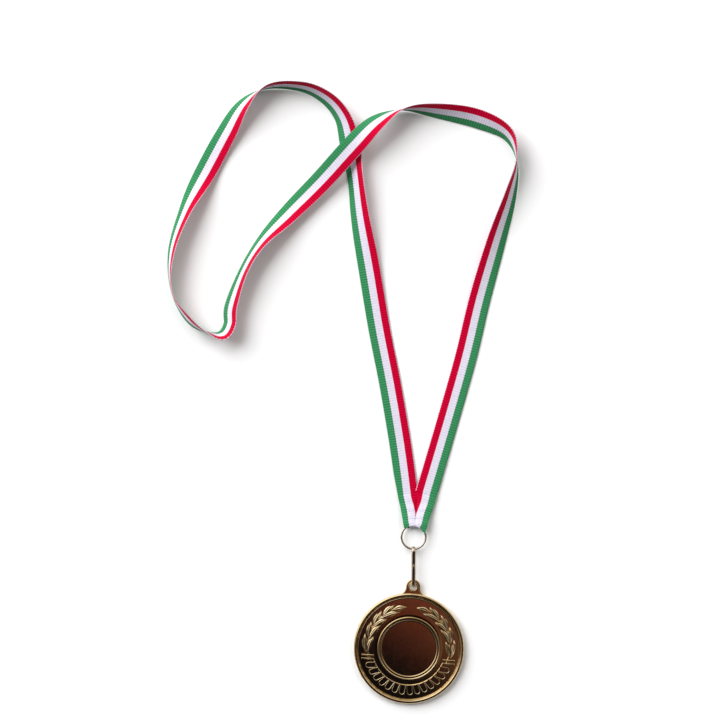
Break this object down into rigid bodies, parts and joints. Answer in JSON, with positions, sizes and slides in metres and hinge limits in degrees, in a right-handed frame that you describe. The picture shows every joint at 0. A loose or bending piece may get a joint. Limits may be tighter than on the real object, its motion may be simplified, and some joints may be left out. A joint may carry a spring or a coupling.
{
  "type": "medal",
  "caption": "Round prize medal with a laurel wreath, hung by an ear, a snap clip and a ring from a striped neck ribbon.",
  "frame": {"origin": "centre of the medal's flat back, which lies on the surface", "axes": "+Z out of the medal's face, +Y from the medal's centre towards its ear, +X to the right of the face"},
  "size_m": [0.1566, 0.2768, 0.0113],
  "materials": {
    "medal_gold": "mirror polished gold-coloured plating on a cast body",
    "clip_gold": "polished gold-coloured plating on a steel strip",
    "ring_gold": "polished pale gold-coloured wire",
    "ribbon_fabric": "ribbed woven ribbon in green, white and red stripes",
    "thread": "white sewing thread"
  },
  "bodies": {
    "neck_ribbon": {"ribbon": "ribbon_fabric", "sewn_fold": "ribbon_fabric", "seam_stitching": "thread"},
    "split_ring": {"ring": "ring_gold"},
    "snap_clip": {"clip_hook": "clip_gold"},
    "clip_spring": {"clip_tongue": "clip_gold"},
    "medallion": {"medal": "medal_gold"}
  },
  "joints": [
    {"name": "ring_swing", "type": "hinge", "parent": "neck_ribbon", "child": "split_ring", "pos_m": [-0.00169, 0.05555, 0.0025], "axis": [0.9981, 0.061, 0], "range_deg": [-45, 0]},
    {"name": "clip_swing", "type": "hinge", "parent": "split_ring", "child": "snap_clip", "pos_m": [-0.00104, 0.04507, 0.0025], "axis": [0.9981, 0.061, 0], "range_deg": [-60, 0]},
    {"name": "tongue_flex", "type": "hinge", "parent": "snap_clip", "child": "clip_spring", "pos_m": [-0.00091, 0.04287, 0.00465], "axis": [0.9981, 0.061, 0], "range_deg": [0, 12], "stiffness_Nm_per_rad": 0.05},
    {"name": "medal_swing", "type": "hinge", "parent": "snap_clip", "child": "medallion", "pos_m": [0, 0.03045, 0.00195], "axis": [0.9981, 0.061, 0], "range_deg": [-90, 0]}
  ]
}
